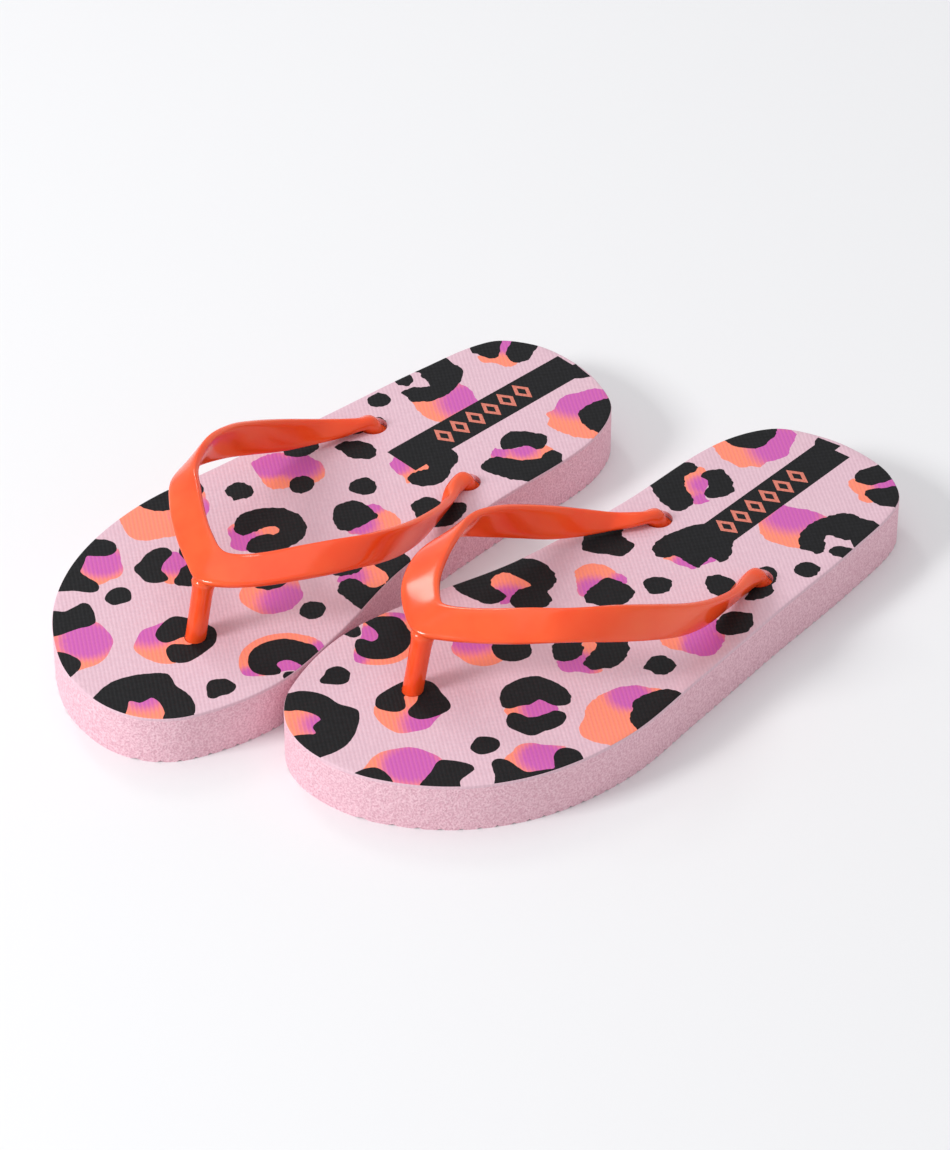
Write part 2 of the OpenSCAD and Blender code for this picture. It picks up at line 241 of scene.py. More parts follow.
# Coloured patches under the black: the outline, then where it turns magenta, as
# (x, y, radius of full magenta, radius where orange begins).
FADES = [
    ([(-34, 5), (-31, 10.5), (-27, 12.3), (-23, 12.3), (-21.5, 8.5), (-18.8, 6.5), (-23, 0),
      (-30, 1)], [(-22, 10, 1.5, 8)]),
    ([(-16.5, 26.5), (-14.3, 23.8), (-10.7, 22.4), (-7, 22), (-3.3, 22.8), (-0.5, 26.8), (0.9, 30),
      (0.2, 33), (-1.5, 38), (-8, 41), (-14, 39), (-16, 33)], [(-1, 31, 3.5, 10)]),
    ([(13.5, 23.2), (7.3, 22.7), (3.3, 21), (1, 18), (-1, 14), (-1.2, 10.7), (-0.3, 7.5), (2, 3),
      (12, 6), (19, 10), (16, 18)], [(8.5, 16, 6, 10.5)]),
    ([(34, 51), (30.7, 49.3), (28.5, 47.4), (25.7, 45.7), (24, 43.3), (23.9, 41.2), (24.6, 39.3),
      (24.6, 37), (26, 34.5), (33, 34.5), (38, 42)], [(32, 43.5, 4.5, 9)]),
    ([(13, 60.8), (17, 61.8), (20.9, 61.6), (21.5, 58), (19.5, 54), (16, 51.5), (12.6, 49.5),
      (10.2, 50.8), (11.5, 54), (13, 57)], [(18, 58.5, 4, 9)]),
    ([(-43.5, 57.5), (-41, 60), (-38.5, 60.8), (-34, 60), (-29.5, 57.3), (-26.3, 53), (-25.2, 48),
      (-26, 43), (-29.3, 38.6), (-33.4, 36), (-35, 36.2), (-38, 39), (-41.5, 45.5), (-43.5, 47.5),
      (-45, 50), (-46, 54)], [(-40, 47.5, 3, 5), (-35, 37, 1.5, 5), (-40.5, 59.5, 1.5, 4.5)]),
    ([(-22.3, 66), (-21, 61.8), (-18.5, 58.7), (-16, 57.9), (-10, 58.1), (-7, 60), (-5.5, 62.3),
      (-5, 65), (-6, 70), (-12, 77), (-17, 74.5), (-20.5, 72)], [(-19, 67, 5, 11)]),
    ([(25.3, 70), (26.3, 66.8), (28.7, 63.3), (30.8, 59.3), (34.3, 57.6), (37.3, 58), (40.3, 59.5),
      (45, 63), (45, 80), (36, 88), (32.7, 86), (29.3, 84), (26.5, 80), (25.2, 75)],
     [(31, 79.5, 4, 8.5)]),
    ([(5, 88), (8, 91), (10, 89.5), (12, 82.5), (18, 82.5), (17.8, 80), (16.3, 78.5), (13.5, 77),
      (11.3, 74.4), (8.7, 74.4), (6, 76.5), (8, 80), (9, 83), (6.5, 86)], [(11, 78, 4, 9)]),
    ([(-33.8, 91.7), (-33, 94.5), (-31, 96), (-24, 96.5), (-22, 95), (-22.5, 91), (-21.5, 87),
      (-22, 84.5), (-23, 83), (-24.5, 84.5), (-26, 86.5), (-31, 86.7), (-33.3, 88.5)],
     [(-23.5, 87, 3, 8)]),
    ([(-13.7, 117.2), (-16.3, 116), (-18.3, 113.2), (-18.6, 110), (-17, 107.7), (-14.6, 105.7),
      (-12, 103.4), (-9.5, 102), (-6, 105), (-4, 112), (-4, 115.3), (-4.8, 116.9), (-6.6, 117.7),
      (-9.5, 117.3)], [(-9, 107, 3, 7.5), (-6, 116, 1.5, 5)]),
    ([(15, 112.5), (14.5, 115.5), (15.5, 118.3), (18, 120.6), (21.3, 121.8), (24.5, 122),
      (28, 121), (33.5, 116.5), (35.6, 110), (34.7, 107.3), (30.7, 105.3), (27.7, 104),
      (25.3, 102.7), (21.5, 102.7), (19.7, 105), (18, 108)],
     [(24, 116.5, 4.5, 9), (31, 111, 5, 8.5)]),
    ([(3, 174), (7.3, 176.2), (10.7, 178.4), (15.7, 179.4), (19, 179), (22, 170), (21, 163),
      (19.8, 162), (16.7, 160.6), (11.3, 159.2), (8, 160.3), (4.7, 162.4), (3, 165)],
     [(8, 174, 6, 13)]),
    ([(-26.5, 171), (-23, 171), (-20, 168.5), (-17, 163.5), (-14, 161), (-13, 161), (-14.2, 157.2),
      (-15.5, 156.5), (-20, 158.5), (-24.5, 161), (-27, 165), (-26.5, 168)],
     [(-19.5, 165.5, 2.5, 6.5), (-15, 160, 2, 5)]),
    ([(-23, 204), (-18.3, 203.9), (-16.7, 203.2), (-14.9, 200.7), (-13.6, 197.7), (-11.8, 194.3),
      (-12.3, 190), (-13.7, 187), (-13.4, 183.4), (-15.7, 182), (-17.3, 179.4), (-20.7, 179.1),
      (-25.3, 179.2), (-28, 180.1), (-32, 182.5), (-34, 188), (-28, 200)], [(-15, 196, 7, 14)]),
    ([(19, 208), (22, 206), (21, 202), (19, 197), (21.5, 194), (19.8, 192.6), (17.3, 192.5),
      (16, 194), (12.7, 194.6), (10.3, 196), (10, 199), (14, 200), (17, 204)],
     [(19.5, 205, 3.5, 8)]),
]

# The heel band differs between the shoes: its corners, the spot it runs into, and a patch.
BAND = {
    "left": [(-11, 206.8), (-3.3, 208.4), (-3.1, 205.5), (2.3, 206.1), (4.9, 151), (-6.8, 151),
             (-9.2, 203.3), (-10.5, 204.8)],
    "right": [(-7.8, 208.2), (0, 209.6), (0.3, 208.6), (6.7, 208.8), (9.2, 140), (9.1, 137.8),
              (-3.3, 137.4), (-3.4, 150), (-5, 204), (-6.5, 205.6)],
}
BAND_SPOT = {
    "left": [(-6.8, 151.7), (-8.3, 149.7), (-9.7, 146.3), (-10.2, 143.5), (-11.2, 140.5),
             (-11.1, 137.5), (-10.6, 134.5), (-9.3, 132), (-6.7, 131), (-4.6, 131.3),
             (-3.4, 133.3), (-2.8, 134.7), (1.3, 134.8), (5.7, 135.2), (5.6, 138.5), (5.4, 141.6),
             (8.7, 141.5), (9.2, 143), (8.9, 145.5), (7.7, 148), (5.2, 150.9), (4, 154), (-6, 154)],
    "right": [(-3.7, 152.3), (-6.7, 151.7), (-9, 149.3), (-10, 146.3), (-11.7, 143.3),
              (-12.7, 140), (-12.8, 138), (-11.7, 135.3), (-9.7, 133), (-6.3, 132), (-4, 133.3),
              (-3.5, 136), (-4.3, 138.5), (-5.2, 140.7), (-4, 141.9), (-2, 142), (0, 147),
              (-1, 153)],
}
BAND_FADE = {
    "left": ([(-4.5, 131), (-2.5, 131.9), (1.5, 132.6), (5, 133.7), (6, 137), (7.3, 142.5),
              (4, 143), (-3, 137)], [(3, 135, 3.5, 7), (7, 140, 2, 4)]),
    "right": ([(-6, 131.5), (-3, 132.6), (1, 133), (4, 133.6), (5.2, 136), (5.8, 138.5), (-2, 139),
               (-3, 142), (-5.5, 141.5)], [(3, 135, 3, 7)]),
}
# Plain coral diamonds along the band: where they are, and their half width and half length
MARKS_Y = (155.5, 162, 168.5, 175, 181.5, 188)
MARK_W = 4.4
MARK_L = 2.7
MARK_INSIDE = 0.5

PINK, BLACK_INK, FADE, CORAL_INK = range(4)

# Seeds of the rough edges; the coloured patches count up from 0
BAND_FADE_SEED = 50
BLACK_SEED = 100
BAND_SPOT_SEED = 200


def slip(p, side):
    """The print sits a little differently on the right sole."""
    if side == "left":
        return p
    return (p[0] - 2 + 5.5 * max(0, (p[1] - 50) / 155) ** 2, p[1] - 0.0006 * p[0] * p[1])


def print_layers(side):
    """[(loop, ink, magenta spots)], lowest first."""
    layers = []
    for k, (points, glow) in enumerate(FADES):
        loop = closed_curve([slip(p, side) for p in points], PRINT_STEP)
        glow = [(*slip(g[:2], side), *g[2:]) for g in glow]
        layers.append((ragged(loop, k), FADE, glow))
    points, glow = BAND_FADE[side]
    layers.append((ragged(closed_curve(points, PRINT_STEP), BAND_FADE_SEED), FADE, glow))
    for k, points in enumerate(BLACK):
        loop = closed_curve([slip(p, side) for p in points], PRINT_STEP)
        layers.append((ragged(loop, BLACK_SEED + k), BLACK_INK, None))
    spot = closed_curve(BAND_SPOT[side], PRINT_STEP)
    layers.append((ragged(spot, BAND_SPOT_SEED), BLACK_INK, None))
    layers.append(([Vector(p) for p in BAND[side]], BLACK_INK, None))
    for y in MARKS_Y:
        x = -1 - (y - 151) * 0.045 if side == "left" else 2.9 - (y - 151) * 0.028
        layers.append((diamond(x, y, MARK_W, MARK_L), CORAL_INK, None))
        layers.append((diamond(x, y, MARK_W * MARK_INSIDE, MARK_L * MARK_INSIDE), BLACK_INK, None))
    return layers


# ---- Meshes -------------------------------------------------------------------------------------
def place(side):
    """Matrix from a shoe's own millimetres to the row frame, from the CAD boxes of its sole."""
    low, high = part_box(f"{side}_sole_front")
    rear_low, rear_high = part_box(f"{side}_sole_rear")
    toe = min(low[1], rear_low[1])
    xs = [p.x for p in OUTER]
    if side == "left":
        axis_x = min(low[0], rear_low[0]) - min(xs) * MM
        flip = 1
    else:
        axis_x = max(high[0], rear_high[0]) + min(xs) * MM
        flip = -1
    return Matrix.Translation((axis_x, toe, 0)) @ Matrix.Diagonal((flip * MM, MM, MM, 1))


def finish_mesh(bm, name, side, materials, smooth_angle):
    """Turns bm into an object in the row frame."""
    matrix = place(side)
    bm.transform(matrix)
    if matrix.determinant() < 0:
        bmesh.ops.reverse_faces(bm, faces=bm.faces)
    mesh = bpy.data.meshes.new(name)
    bm.to_mesh(mesh)
    bm.free()
    obj = bpy.data.objects.new(name, mesh)
    bpy.context.scene.collection.objects.link(obj)
    for m in materials:
        mesh.materials.append(m)
    mesh.shade_smooth()
    mesh.set_sharp_from_angle(angle=math.radians(smooth_angle))
    return obj


def inside(p, loop):
    hit = False
    for a, b in zip(loop, loop[1:] + loop[:1]):
        if (a.y > p.y) != (b.y > p.y) and p.x < a.x + (p.y - a.y) / (b.y - a.y) * (b.x - a.x):
            hit = not hit
    return hit


def triangulate(loops, lines, spacing):
    """Fills the first loop with triangles that respect every loop and line. Returns the points,
    the triangles and, for each triangle, the loops that it is in."""
    points, faces, edges = [], [], []
    for loop in loops:
        area = sum(a.x * b.y - b.x * a.y for a, b in zip(loop, loop[1:] + loop[:1]))
        loop = loop if area > 0 else loop[::-1]
        faces.append(list(range(len(points), len(points) + len(loop))))
        points += loop
    for line in lines:
        edges += [(len(points) + k, len(points) + k + 1) for k in range(len(line) - 1)]
        points += line
    xs, ys = [p.x for p in loops[0]], [p.y for p in loops[0]]
    rows = int((max(ys) - min(ys)) / spacing)
    columns = int((max(xs) - min(xs)) / spacing)
    for j in range(1, rows + 1):
        for i in range(1, columns + 1):
            p = Vector((min(xs) + i * spacing, min(ys) + j * spacing - spacing / 2))
            if inside(p, loops[0]):
                points.append(p)
    out = geometry.delaunay_2d_cdt(points, edges, faces, 1, 1e-4)
    return out[0], out[2], out[5]


def magenta(p, glow):
    share = 0
    for x, y, full, none in glow:
        d = (Vector((x, y)) - p).length
        t = min(1, max(0, (none - d) / (none - full)))
        share = max(share, t * t * (3 - 2 * t))
    return share


def footbed(side, materials):
    """The printed top skin, with a softened edge and the holes of the strap."""
    xs = [p.x for p in OUTER]
    middle = Vector(((min(xs) + max(xs)) / 2, SOLE_LEN / 2))
    n = len(OUTER)
    normals = []
    for k in range(n):
        along = (OUTER[(k + 1) % n] - OUTER[k - 1]).normalized()
        out = Vector((along.y, -along.x))
        normals.append(out if out.dot(OUTER[k] - middle) > 0 else -out)
    rim = [p - m * EDGE_INSET for p, m in zip(OUTER, normals)]
    holes = [circle(at, d / 2 + SKIN_CLEAR) for at, d in HOLES]
    layers = print_layers(side)
    loops = [rim] + holes + [layer[0] for layer in layers]
    points, tris, owners = triangulate(loops, [], GRID)
    bm = bmesh.new()
    fade = bm.loops.layers.float.new("fade")
    verts = [bm.verts.new((p.x, p.y, SOLE_T)) for p in points]
    for tri, owner in zip(tris, owners):
        if 0 not in owner or any(h in owner for h in (1, 2, 3)):
            continue
        try:
            face = bm.faces.new([verts[k] for k in tri])
        except ValueError:
            continue
        top = max(owner)
        if top > 3:
            _, ink, glow = layers[top - 4]
            face.material_index = ink
            if ink == FADE:
                for corner in face.loops:
                    corner[fade] = magenta(Vector(corner.vert.co[:2]), glow)
    bmesh.ops.delete(bm, geom=[v for v in bm.verts if not v.link_faces], context="VERTS")
    # The softened edge and the side of the skin, outside, and the walls of the holes, inside
    borders, outward = [], {}
    for edge in [e for e in bm.edges if e.is_boundary]:
        face = edge.link_faces[0]
        start = next(corner for corner in face.loops if corner.edge == edge).vert
        end = edge.other_vert(start)
        hole = any((Vector(start.co[:2]) - Vector(at)).length < NECK_D for at, _ in HOLES)
        borders.append((start, end, face, hole))
        run = Vector((end.co - start.co)[:2]).normalized()
        for v in (start, end):
            outward[v] = outward.get(v, Vector((0, 0))) + Vector((run.y, -run.x))
    below = {}
    for start, end, _, hole in borders:
        for v in (start, end):
            if v in below:
                continue
            out = outward[v].normalized().to_3d() * EDGE_INSET
            drops = [(0, TOP_T)] if hole else [(0.7, EDGE_DROP * 0.3), (1, EDGE_DROP), (1, TOP_T)]
            below[v] = [bm.verts.new(v.co + out * share - Vector((0, 0, drop)))
                        for share, drop in drops]
    for start, end, face, hole in borders:
        left_chain, right_chain = [start] + below[start], [end] + below[end]
        for k in range(len(left_chain) - 1):
            quad = bm.faces.new((right_chain[k], left_chain[k], left_chain[k + 1],
                                 right_chain[k + 1]))
            if not hole and k < 1:
                quad.material_index = face.material_index
                if face.material_index == FADE:
                    values = {c.vert: c[fade] for c in face.loops}
                    for corner in quad.loops:
                        corner[fade] = values.get(corner.vert, sum(values.values()) / len(values))
    bmesh.ops.recalc_face_normals(bm, faces=bm.faces)
    return finish_mesh(bm, f"{side}_footbed", side, materials, 60)


def tread(y):
    """Height of the sole's underside at y: V grooves across it."""
    k = min(GROOVES, max(0, round((y - FIRST_GROOVE) / GROOVE_PITCH)))
    off = abs(y - FIRST_GROOVE - k * GROOVE_PITCH)
    return GROOVE_DEPTH * max(0, 1 - off / (GROOVE_W / 2))


def foam(side, materials):
    """The foam slab under the skin, with its tread, holes and recesses."""
    top = SOLE_T - TOP_T
    cuts = sorted(FIRST_GROOVE + k * GROOVE_PITCH + s * GROOVE_W / 2
                  for k in range(GROOVES + 1) for s in (-1, 0, 1))

    def with_cuts(loop):
        out = []
        for a, b in zip(loop, loop[1:] + loop[:1]):
            out.append(a)
            hits = [c for c in cuts if min(a.y, b.y) + 1e-3 < c < max(a.y, b.y) - 1e-3]
            for c in sorted(hits, reverse=a.y > b.y):
                out.append(a.lerp(b, (c - a.y) / (b.y - a.y)))
        return out

    outer = with_cuts(OUTER)
    recesses = [with_cuts(circle(at, PLUG_D / 2 + PLUG_CLEAR)) for at, _ in HOLES]
    lines = []
    for c in cuts:
        crossing = sorted(p.x for p in outer if abs(p.y - c) < 1e-3)
        if len(crossing) > 1:
            lines.append([Vector((crossing[0], c)), Vector((crossing[-1], c))])
    points, tris, owners = triangulate([outer] + recesses, lines, 2 * GRID)
    bm = bmesh.new()
    verts = [bm.verts.new((p.x, p.y, tread(p.y))) for p in points]
    for tri, owner in zip(tris, owners):
        if 0 in owner and not any(h in owner for h in (1, 2, 3)):
            try:
                bm.faces.new([verts[k] for k in reversed(tri)])
            except ValueError:
                pass
    bmesh.ops.delete(bm, geom=[v for v in bm.verts if not v.link_faces], context="VERTS")

    def wall(loop_low, loop_high):
        n = len(loop_low)
        for k in range(n):
            bm.faces.new((loop_low[k], loop_low[(k + 1) % n], loop_high[(k + 1) % n], loop_high[k]))

    levels = [None, 3, 6, 9, 12, top]
    rings = [[bm.verts.new((p.x, p.y, tread(p.y) if z is None else z)) for p in outer]
             for z in levels]
    for low, high in zip(rings, rings[1:]):
        wall(low, high)
    ceiling = PLUG_Z + PLUG_T
    for (at, d), recess in zip(HOLES, recesses):
        low = [bm.verts.new((p.x, p.y, tread(p.y))) for p in recess]
        high = [bm.verts.new((p.x, p.y, ceiling)) for p in recess]
        wall(high, low)
        centre = Vector(at)
        bore = [(p - centre).normalized() * (d / 2 + HOLE_CLEAR) + centre for p in recess]
        bore_low = [bm.verts.new((p.x, p.y, ceiling)) for p in bore]
        bore_high = [bm.verts.new((p.x, p.y, top)) for p in bore]
        wall(bore_low, high)
        wall(bore_high, bore_low)
    bmesh.ops.remove_doubles(bm, verts=bm.verts, dist=0.002)
    return finish_mesh(bm, f"{side}_sole_foam", side, materials, 30)


# ---- The strap ----------------------------------------------------------------------------------
# Stations from the outer arm's neck over the V to the inner arm's neck, as in the CAD model: lower
# edge, upper edge, thickness, roundness. An edge is (across from the post, share of the way to the
# arm holes, height above the sole).
ARM_END_D = NECK_D - 0.4
ARM_SHARE = ARM_END_D / 2 / ARM_LEN


def arm_end(x):
    return (x, 1 - ARM_SHARE, -5), (x, 1 + ARM_SHARE, -5), ARM_END_D, 1


OUT_X = ARM_OUT_AT[0] - POST_AT[0]
IN_X = ARM_IN_AT[0] - POST_AT[0]
STATIONS = [
    arm_end(OUT_X),
    ((OUT_X + 0.2, 0.969, -1.8), (OUT_X + 0.2, 1.022, 0.2), NECK_D * 0.78, 0.9),
    ((OUT_X + 0.5, 0.958, 0.6), (OUT_X + 0.5, 1.002, 3.4), NECK_D * 0.62, 0.7),
    ((OUT_X + 1.3, 0.89, 1.1), (OUT_X + 1.9, 0.955, 4.5), NECK_D * 0.53, 0.5),
    ((39.3, 0.81, 2), (41.2, 0.85, 8), BAND_T, 0),
    ((41.9, 0.7, 4.2), (43.8, 0.735, 13), BAND_T, 0),
    ((43.4, 0.59, 8.4), (44.4, 0.63, 18), BAND_T, 0),
    ((43, 0.48, 13.5), (42.8, 0.525, 23.2), BAND_T, 0),
    ((40.4, 0.355, 18.9), (38, 0.4, 27.9), BAND_T, 0),
    ((34.6, 0.228, 23.1), (29.5, 0.28, 29.3), BAND_T, 0),
    ((25.8, 0.147, 22.6), (22.5, 0.228, 28.5), BAND_T, 0),
    ((16.8, 0.09, 21.2), (15.3, 0.18, 27), BAND_T, 0),
    ((7, 0.043, 19.6), (8, 0.142, 25.3), BAND_T, 0),
    ((0, 0.019, 19), (0.5, 0.119, 23.8), BAND_T, 0),
    ((-7.8, 0.047, 20), (-3.8, 0.142, 23.3), BAND_T, 0),
    ((-16, 0.114, 21.2), (-9.1, 0.194, 24), BAND_T, 0),
    ((-22.2, 0.213, 21), (-14.3, 0.275, 24.6), BAND_T, 0),
    ((-25.5, 0.317, 18.9), (-19, 0.365, 24.4), BAND_T, 0),
    ((-26.2, 0.422, 15.6), (-22.8, 0.46, 23.2), BAND_T, 0),
    ((-23.8, 0.517, 11), (-23.2, 0.555, 20.2), BAND_T, 0),
    ((-20.8, 0.602, 7.2), (-21.6, 0.64, 16.6), BAND_T, 0),
    ((-17, 0.687, 3.8), (-18.5, 0.73, 12.6), BAND_T, 0),
    ((-13.2, 0.768, 2), (-15, 0.81, 8.8), BAND_T, 0),
    ((-9.5, 0.848, 1.2), (-10.6, 0.89, 5.4), BAND_T, 0),
    ((IN_X - 2, 0.905, 1.1), (IN_X - 2.2, 0.955, 4.2), NECK_D * 0.53, 0.5),
    ((IN_X - 0.5, 0.958, 0.6), (IN_X - 0.5, 1.002, 3.4), NECK_D * 0.62, 0.7),
    ((IN_X - 0.2, 0.969, -1.8), (IN_X - 0.2, 1.022, 0.2), NECK_D * 0.78, 0.9),
    arm_end(IN_X),
]
STEPS = 8
AROUND = 32


def strap_point(p):
    return (POST_AT[0] + p[0], POST_AT[1] + p[1] * ARM_LEN, SOLE_T + p[2])


def signed_power(v, e):
    return math.copysign(abs(v) ** e, v)


def tube(bm, rings):
    """Faces between rings of vertices, and caps at its ends."""
    n = len(rings[0])
    for low, high in zip(rings, rings[1:]):
        for k in range(n):
            bm.faces.new((low[k], low[(k + 1) % n], high[(k + 1) % n], high[k]))
    bm.faces.new(list(reversed(rings[0])))
    bm.faces.new(rings[-1])


def turned(bm, at, profile, count=ROUND_POINTS, lean=Vector((0, 0, 1))):
    """A round body through (radius, height) pairs that stands at a point and leans along lean."""
    turn = Vector((0, 0, 1)).rotation_difference(lean.normalized()).to_matrix()
    rings = []
    for r, z in profile:
        ring = [Vector((r * math.cos(math.tau * k / count), r * math.sin(math.tau * k / count), z))
                for k in range(count)]
        rings.append([bm.verts.new(Vector(at) + turn @ p) for p in ring])
    tube(bm, rings)


def strap(side, materials):
    bm = bmesh.new()
    low = open_curve([strap_point(s[0]) for s in STATIONS], STEPS)
    high = open_curve([strap_point(s[1]) for s in STATIONS], STEPS)
    forms = open_curve([(s[2], s[3], 0) for s in STATIONS], STEPS)
    rings = []
    last = len(low) - 1
    for i in range(last + 1):
        a, b = max(i - 1, 0), min(i + 1, last)
        middle = (low[i] + high[i]) / 2
        run = low[b] + high[b] - low[a] - high[a]
        across = (high[i] - low[i]) / 2
        out = run.cross(across).normalized() * max(forms[i].x, BAND_T * 0.8) / 2
        sharp = 0.42 + 0.58 * min(1, max(0, forms[i].y))
        ring = []
        for k in range(AROUND):
            angle = math.tau * k / AROUND
            u, v = signed_power(math.cos(angle), sharp), signed_power(math.sin(angle), sharp)
            ring.append(bm.verts.new(middle + across * u + out * v))
        rings.append(ring)
    tube(bm, rings)
    # The toe post leans from its hole to the middle of the V, and flares into it
    foot = Vector((*POST_AT, SOLE_T - TOP_T))
    v_low = Vector(strap_point((0, 0.019, 19)))
    v_high = Vector(strap_point((0.5, 0.119, 23.8)))
    lean = v_low * 0.72 + v_high * 0.28 - foot
    r, length = POST_D / 2, lean.length
    turned(bm, foot, [(r, 0), (r, length * 0.5), (r * 1.02, length - 6), (r * 1.08, length - 4),
                      (r * 1.18, length - 2.8), (r * 1.1, length - 2), (r * 0.6, length - 0.6)],
           lean=lean)
    for at, d, shaft_top in ((POST_AT, POST_D - 0.8, SOLE_T), (ARM_IN_AT, NECK_D, SOLE_T - 2),
                             (ARM_OUT_AT, NECK_D, SOLE_T - 2)):
        edge = 0.4
        turned(bm, (*at, PLUG_Z), [(PLUG_D / 2 - edge, 0), (PLUG_D / 2, edge),
                                   (PLUG_D / 2, PLUG_T - edge), (PLUG_D / 2 - edge, PLUG_T),
                                   (d / 2, PLUG_T), (d / 2, shaft_top - PLUG_Z)])
    bmesh.ops.recalc_face_normals(bm, faces=bm.faces)
    return finish_mesh(bm, f"{side}_strap_moulding", side, materials, 50)


# ---- Materials ----------------------------------------------------------------------------------
def linear(r, g, b):
    """A colour given as it looks on a screen, 0 to 255."""
    return tuple((c / 255 / 12.92) if c / 255 < 0.04045 else ((c / 255 + 0.055) / 1.055) ** 2.4
                 for c in (r, g, b)) + (1,)


class Nodes:
    """A material being wired up."""

    def __init__(self, name, roughness, **settings):
        self.material = bpy.data.materials.new(name)
        self.material.use_nodes = True
        self.tree = self.material.node_tree
        self.shader = self.tree.nodes["Principled BSDF"]
        self.shader.inputs["Roughness"].default_value = roughness
        for socket, value in settings.items():
            self.shader.inputs[socket.replace("_", " ")].default_value = value
        place_node = self.add("ShaderNodeTexCoord")
        self.where = place_node.outputs["Object"]

    def add(self, kind, **settings):
        node = self.tree.nodes.new(kind)
        for key, value in settings.items():
            if hasattr(node, key):
                setattr(node, key, value)
            else:
                node.inputs[key.replace("_", " ")].default_value = value
        return node

    def link(self, a, b):
        self.tree.links.new(a, b)

    def noise(self, scale, detail=3.0, vector=None):
        node = self.add("ShaderNodeTexNoise", Scale=scale, Detail=detail)
        self.link(vector or self.where, node.inputs["Vector"])
        return node.outputs["Fac"]

    def turned(self, angle, stretch=(1, 1, 1)):
        node = self.add("ShaderNodeMapping")
        node.inputs["Rotation"].default_value = (0, 0, angle)
        node.inputs["Scale"].default_value = stretch
        self.link(self.where, node.inputs["Vector"])
        return node.outputs["Vector"]

    def blend(self, fac, a, b):
        node = self.add("ShaderNodeMix", data_type="RGBA")
        self.link(fac, node.inputs["Factor"])
        for socket, value in ((6, a), (7, b)):
            if isinstance(value, tuple):
                node.inputs[socket].default_value = value
            else:
                self.link(value, node.inputs[socket])
        return node.outputs[2]

    def ramp(self, fac, low, high, from_low=0.0, from_high=1.0):
        node = self.add("ShaderNodeMapRange")
        node.inputs["From Min"].default_value = from_low
        node.inputs["From Max"].default_value = from_high
        node.inputs["To Min"].default_value = low
        node.inputs["To Max"].default_value = high
        self.link(fac, node.inputs["Value"])
        return node.outputs["Result"]

    def bump(self, height, distance, strength=1.0, under=None):
        node = self.add("ShaderNodeBump")
        node.inputs["Strength"].default_value = strength
        node.inputs["Distance"].default_value = distance
        self.link(height, node.inputs["Height"])
        if under is not None:
            self.link(under, node.inputs["Normal"])
        return node.outputs["Normal"]

    def set(self, socket, value):
        self.link(value, self.shader.inputs[socket])


RIB_PITCH = 1.18 * MM
RIB_ANGLE = math.radians(55)


def skin_surface(m, rough_low, rough_high):
    """The embossed ribs and fine grain of the printed skin."""
    wave = m.add("ShaderNodeTexWave", wave_type="BANDS", bands_direction="X")
    wave.inputs["Scale"].default_value = math.tau / 20 / RIB_PITCH
    wave.inputs["Distortion"].default_value = 0.5
    wave.inputs["Detail"].default_value = 1
    wave.inputs["Detail Scale"].default_value = 1
    m.link(m.turned(-RIB_ANGLE), wave.inputs["Vector"])
    cross = m.add("ShaderNodeTexWave", wave_type="BANDS", bands_direction="Y")
    cross.inputs["Scale"].default_value = math.tau / 20 / (RIB_PITCH * 1.3)
    m.link(m.turned(-RIB_ANGLE), cross.inputs["Vector"])
    ribs = m.bump(wave.outputs["Fac"], 0.04 * MM)
    ribs = m.bump(cross.outputs["Fac"], 0.03 * MM, under=ribs)
    grain = m.bump(m.noise(2500), 0.03 * MM, under=ribs)
    m.set("Normal", grain)
    m.set("Roughness", m.ramp(wave.outputs["Fac"], rough_low, rough_high))
    return wave.outputs["Fac"]


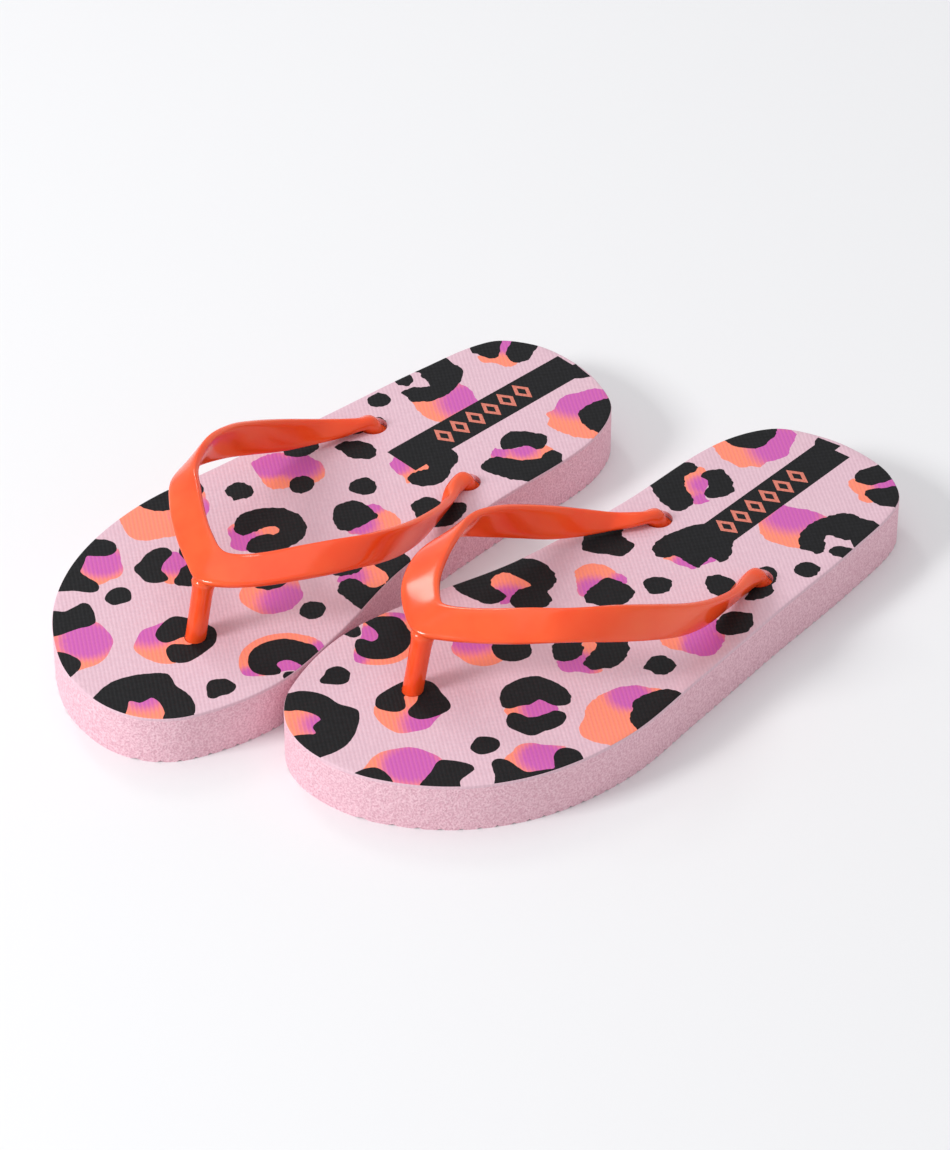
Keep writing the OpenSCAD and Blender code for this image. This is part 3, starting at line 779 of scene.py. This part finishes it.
def make_materials():
    made = {}
    pink_low, pink_high = linear(222, 184, 197), linear(230, 193, 205)

    m = Nodes("printed_pink", 0.6)
    ribs = skin_surface(m, 0.52, 0.66)
    speckle = m.blend(m.ramp(m.noise(900), 0, 1, 0.3, 0.7), pink_low, pink_high)
    m.set("Base Color", m.blend(m.ramp(ribs, 0, 0.35), speckle, linear(212, 172, 186)))
    made[PINK] = m.material

    m = Nodes("printed_black", 0.6, Specular_IOR_Level=0.22)
    skin_surface(m, 0.55, 0.65)
    m.set("Base Color", m.blend(m.ramp(m.noise(700), 0, 1, 0.35, 0.7), linear(14, 14, 16),
                                linear(22, 22, 25)))
    made[BLACK_INK] = m.material

    m = Nodes("printed_fade", 0.58)
    ribs = skin_surface(m, 0.5, 0.62)
    share = m.add("ShaderNodeAttribute", attribute_name="fade")
    streaks = m.add("ShaderNodeMath", operation="MULTIPLY_ADD")
    m.link(m.ramp(ribs, -0.5, 0.5), streaks.inputs[0])
    streaks.inputs[1].default_value = 0.18
    m.link(share.outputs["Fac"], streaks.inputs[2])
    streaks.use_clamp = True
    m.set("Base Color", m.blend(streaks.outputs[0], linear(255, 140, 108), linear(203, 88, 176)))
    made[FADE] = m.material

    m = Nodes("printed_coral", 0.55)
    skin_surface(m, 0.48, 0.6)
    m.set("Base Color", m.blend(m.ramp(m.noise(1500), 0, 1, 0.35, 0.65), linear(205, 106, 88),
                                linear(224, 130, 110)))
    made[CORAL_INK] = m.material

    m = Nodes("foam", 0.8)
    fine, coarse = m.noise(1600, 4), m.noise(420, 3)
    m.set("Base Color", m.blend(m.ramp(fine, 0, 1, 0.38, 0.62), linear(222, 170, 185),
                                linear(246, 204, 215)))
    m.set("Normal", m.bump(fine, 0.35 * MM, under=m.bump(coarse, 0.3 * MM)))
    m.set("Roughness", m.ramp(coarse, 0.72, 0.88))
    made["foam"] = m.material

    m = Nodes("strap_plastic", 0.15, Subsurface_Weight=0.3, Subsurface_Scale=0.004,
              IOR=1.52)
    m.shader.inputs["Subsurface Radius"].default_value = (1.0, 0.35, 0.15)
    m.set("Base Color", m.blend(m.ramp(m.noise(60), 0, 1, 0.35, 0.65), linear(253, 80, 30),
                                linear(255, 94, 42)))
    m.set("Roughness", m.ramp(m.noise(150), 0.1, 0.2))
    m.set("Normal", m.bump(m.noise(45, 1), 0.35 * MM))
    made["strap"] = m.material
    return made


# ---- The pair -----------------------------------------------------------------------------------
materials = make_materials()
inks = [materials[k] for k in (PINK, BLACK_INK, FADE, CORAL_INK)]
for side in ("left", "right"):
    bed = footbed(side, inks)
    slab = foam(side, [materials["foam"]])
    band = strap(side, [materials["strap"]])
    for piece, nodes, slot in ((bed, ("top_front", "top_rear"), "printed_top"),
                               (slab, ("sole_front", "sole_rear"), "sole_foam")):
        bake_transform(piece)
        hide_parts(*(f"{side}_{n}" for n in nodes))
    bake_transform(band)
    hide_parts(f"{side}_strap")

# ---- Studio -------------------------------------------------------------------------------------
floor_mesh = bpy.data.meshes.new("floor")
reach = 3
floor_mesh.from_pydata([(-reach, -reach, 0), (reach, -reach, 0), (reach, reach, 0),
                        (-reach, reach, 0)], [], [(0, 1, 2, 3)])
floor = bpy.data.objects.new("floor", floor_mesh)
bpy.context.scene.collection.objects.link(floor)
m = Nodes("floor", 0.7)
m.shader.inputs["Base Color"].default_value = (0.86, 0.86, 0.87, 1)
floor_mesh.materials.append(m.material)

bpy.context.scene.view_settings.view_transform = "Standard"
world = bpy.data.worlds.new("studio")
bpy.context.scene.world = world
world.use_nodes = True
world.node_tree.nodes["Background"].inputs["Color"].default_value = (0.98, 0.985, 1, 1)
world.node_tree.nodes["Background"].inputs["Strength"].default_value = 0.63


def softbox(name, at, size, power):
    light = bpy.data.lights.new(name, "AREA")
    light.shape = "RECTANGLE"
    light.size, light.size_y = size
    light.energy = power
    obj = bpy.data.objects.new(name, light)
    obj.location = at
    obj.rotation_euler = (-Vector(at)).to_track_quat("-Z", "Y").to_euler()
    bpy.context.scene.collection.objects.link(obj)


softbox("key", (-0.55, -1.35, 0.95), (0.45, 0.45), 17)
softbox("overhead", (-0.3, 0.1, 2), (1.6, 1.6), 5)
softbox("window", (-0.9, 0.3, 1.0), (0.2, 0.35), 1.6)

TARGET = Vector((-0.0075, 0.0102, 0))
DISTANCE = 1.3909
AZIMUTH, ELEVATION = math.radians(44.68), math.radians(38.70)
back = Vector((math.sin(AZIMUTH) * math.cos(ELEVATION), -math.cos(AZIMUTH) * math.cos(ELEVATION),
               math.sin(ELEVATION)))
camera_data = bpy.data.cameras.new("camera")
camera_data.lens = 179
camera_data.sensor_width = 36
camera_data.sensor_fit = "HORIZONTAL"
camera = bpy.data.objects.new("camera", camera_data)
camera.location = TARGET + back * DISTANCE
camera.rotation_euler = (-back).to_track_quat("-Z", "Y").to_euler()
bpy.context.scene.collection.objects.link(camera)
bpy.context.scene.camera = camera
